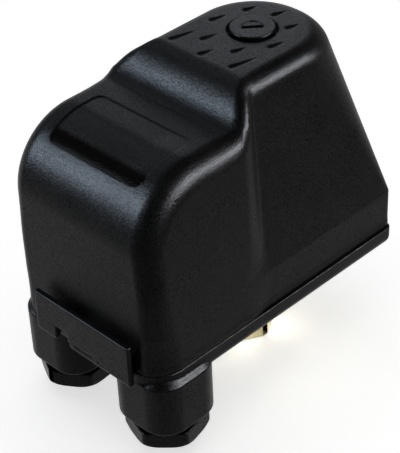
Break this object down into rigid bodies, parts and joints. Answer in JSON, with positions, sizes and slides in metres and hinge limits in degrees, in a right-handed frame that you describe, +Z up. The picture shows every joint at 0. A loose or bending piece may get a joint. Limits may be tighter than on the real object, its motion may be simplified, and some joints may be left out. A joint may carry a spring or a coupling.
{
  "type": "pressure switch",
  "caption": "Pressure switch with a hooded plastic cover, adjustable springs and snap contacts, cable glands below the front and a pressure socket below the rear.",
  "frame": {"origin": "centre of the pressure socket's lower face, where the switch meets its pipe fitting", "axes": "+Z up along the pressure socket, -Y towards the cable glands, +X to the right seen from the glands"},
  "size_m": [0.0651, 0.1069, 0.1081],
  "materials": {
    "black_plastic": "fine spark-eroded grain, satin",
    "yellow_zinc": "zinc plate, yellow passivated",
    "zinc_plate": "bright zinc plate",
    "spring_steel": "drawn wire, oiled",
    "brass": "stamped",
    "rubber": "moulded, dull",
    "acetal": "moulded, slightly waxy",
    "phenolic": "moulded phenolic"
  },
  "bodies": {
    "root": {"base": "black_plastic", "front_strip": "black_plastic", "pressure_flange": "yellow_zinc", "diaphragm": "rubber", "flange_screw_1": "zinc_plate", "flange_screw_2": "zinc_plate", "flange_screw_3": "zinc_plate", "flange_screw_4": "zinc_plate", "bracket": "zinc_plate", "pivot_pin": "spring_steel", "pin_clip_1": "spring_steel", "pin_clip_2": "spring_steel", "range_stud": "zinc_plate", "range_spring": "spring_steel", "differential_stud": "zinc_plate", "differential_spring": "spring_steel", "terminal_block": "phenolic", "block_screw_1": "zinc_plate", "block_screw_2": "zinc_plate", "terminal_1": "brass", "terminal_2": "brass", "terminal_3": "brass", "terminal_4": "brass", "clamp_washer_1": "zinc_plate", "clamp_washer_2": "zinc_plate", "clamp_washer_3": "zinc_plate", "clamp_washer_4": "zinc_plate", "terminal_screw_1": "zinc_plate", "terminal_screw_2": "zinc_plate", "terminal_screw_3": "zinc_plate", "terminal_screw_4": "zinc_plate", "earth_washer_1": "brass", "earth_washer_2": "brass", "earth_screw_1": "brass", "earth_screw_2": "brass", "gland_seal_left": "rubber", "gland_seal_right": "rubber"},
    "cover": {"cover": "black_plastic"},
    "cover_screw": {"cover_screw": "black_plastic", "screw_clip": "spring_steel"},
    "gland_washer_left": {"gland_washer_left": "zinc_plate"},
    "gland_nut_left": {"gland_nut_left": "black_plastic"},
    "gland_washer_right": {"gland_washer_right": "zinc_plate"},
    "gland_nut_right": {"gland_nut_right": "black_plastic"},
    "swivel_nut": {"swivel_nut": "yellow_zinc"},
    "plunger": {"plunger": "acetal"},
    "lever": {"lever": "zinc_plate"},
    "range_seat": {"range_seat": "zinc_plate"},
    "range_nut": {"range_nut": "zinc_plate"},
    "differential_seat": {"differential_seat": "zinc_plate"},
    "differential_nut": {"differential_nut": "zinc_plate"},
    "contact_carrier": {"contact_carrier": "acetal", "contact_bridge_left": "brass", "contact_bridge_right": "brass", "contact_spring_1": "spring_steel", "contact_spring_2": "spring_steel", "toggle_spring": "spring_steel"}
  },
  "joints": [
    {"name": "cover_lift", "type": "slide", "parent": "root", "child": "cover", "axis": [0, 0, 1], "range_m": [0, 0.1]},
    {"name": "cover_screw_turn", "type": "hinge", "parent": "cover", "child": "cover_screw", "pos_m": [0, 0.0065, 0.1], "axis": [0, 0, 1], "continuous": true},
    {"name": "gland_left_travel", "type": "slide", "parent": "root", "child": "gland_washer_left", "axis": [0, 0, 1], "range_m": [-0.0045, 0.0012], "deforming": ["gland_seal_left"]},
    {"name": "gland_left_turn", "type": "hinge", "parent": "gland_washer_left", "child": "gland_nut_left", "pos_m": [-0.0198, -0.0542, 0.0086], "axis": [0, 0, 1], "range_deg": [-1080, 288]},
    {"name": "gland_right_travel", "type": "slide", "parent": "root", "child": "gland_washer_right", "axis": [0, 0, 1], "range_m": [-0.0045, 0.0012], "deforming": ["gland_seal_right"]},
    {"name": "gland_right_turn", "type": "hinge", "parent": "gland_washer_right", "child": "gland_nut_right", "pos_m": [0.0198, -0.0542, 0.0086], "axis": [0, 0, 1], "range_deg": [-1080, 288]},
    {"name": "swivel_turn", "type": "hinge", "parent": "root", "child": "swivel_nut", "pos_m": [0, 0, 0.008], "axis": [0, 0, 1], "continuous": true},
    {"name": "lever_tilt", "type": "hinge", "parent": "root", "child": "lever", "pos_m": [0, 0.026, 0.041], "axis": [-1, 0, 0], "range_deg": [0, 2.5]},
    {"name": "plunger_rise", "type": "slide", "parent": "root", "child": "plunger", "axis": [0, 0, 1], "range_m": [0, 0.00113]},
    {"name": "contact_travel", "type": "slide", "parent": "root", "child": "contact_carrier", "axis": [0, 0, 1], "range_m": [0, 0.003]},
    {"name": "range_seat_travel", "type": "slide", "parent": "root", "child": "range_seat", "axis": [0, 0, 1], "range_m": [-0.01, 0.004], "deforming": ["range_spring"]},
    {"name": "range_nut_turn", "type": "hinge", "parent": "range_seat", "child": "range_nut", "pos_m": [0, 0.0065, 0.083], "axis": [0, 0, 1], "range_deg": [-3600, 1440]},
    {"name": "differential_seat_travel", "type": "slide", "parent": "root", "child": "differential_seat", "axis": [0, 0, 1], "range_m": [-0.006, 0.004], "deforming": ["differential_spring"]},
    {"name": "differential_nut_turn", "type": "hinge", "parent": "differential_seat", "child": "differential_nut", "pos_m": [0, -0.017, 0.064], "axis": [0, 0, 1], "range_deg": [-2700, 1800]}
  ],
  "couplings": [
    {"joint": "gland_left_turn", "follows": "gland_left_travel", "rad_per_m": 4188.8},
    {"joint": "gland_right_turn", "follows": "gland_right_travel", "rad_per_m": 4188.8},
    {"joint": "plunger_rise", "follows": "lever_tilt", "m_per_rad": 0.026},
    {"joint": "contact_travel", "follows": "lever_tilt", "m_per_rad": 0.068755},
    {"joint": "range_nut_turn", "follows": "range_seat_travel", "rad_per_m": 6283.2},
    {"joint": "differential_nut_turn", "follows": "differential_seat_travel", "rad_per_m": 7854}
  ]
}
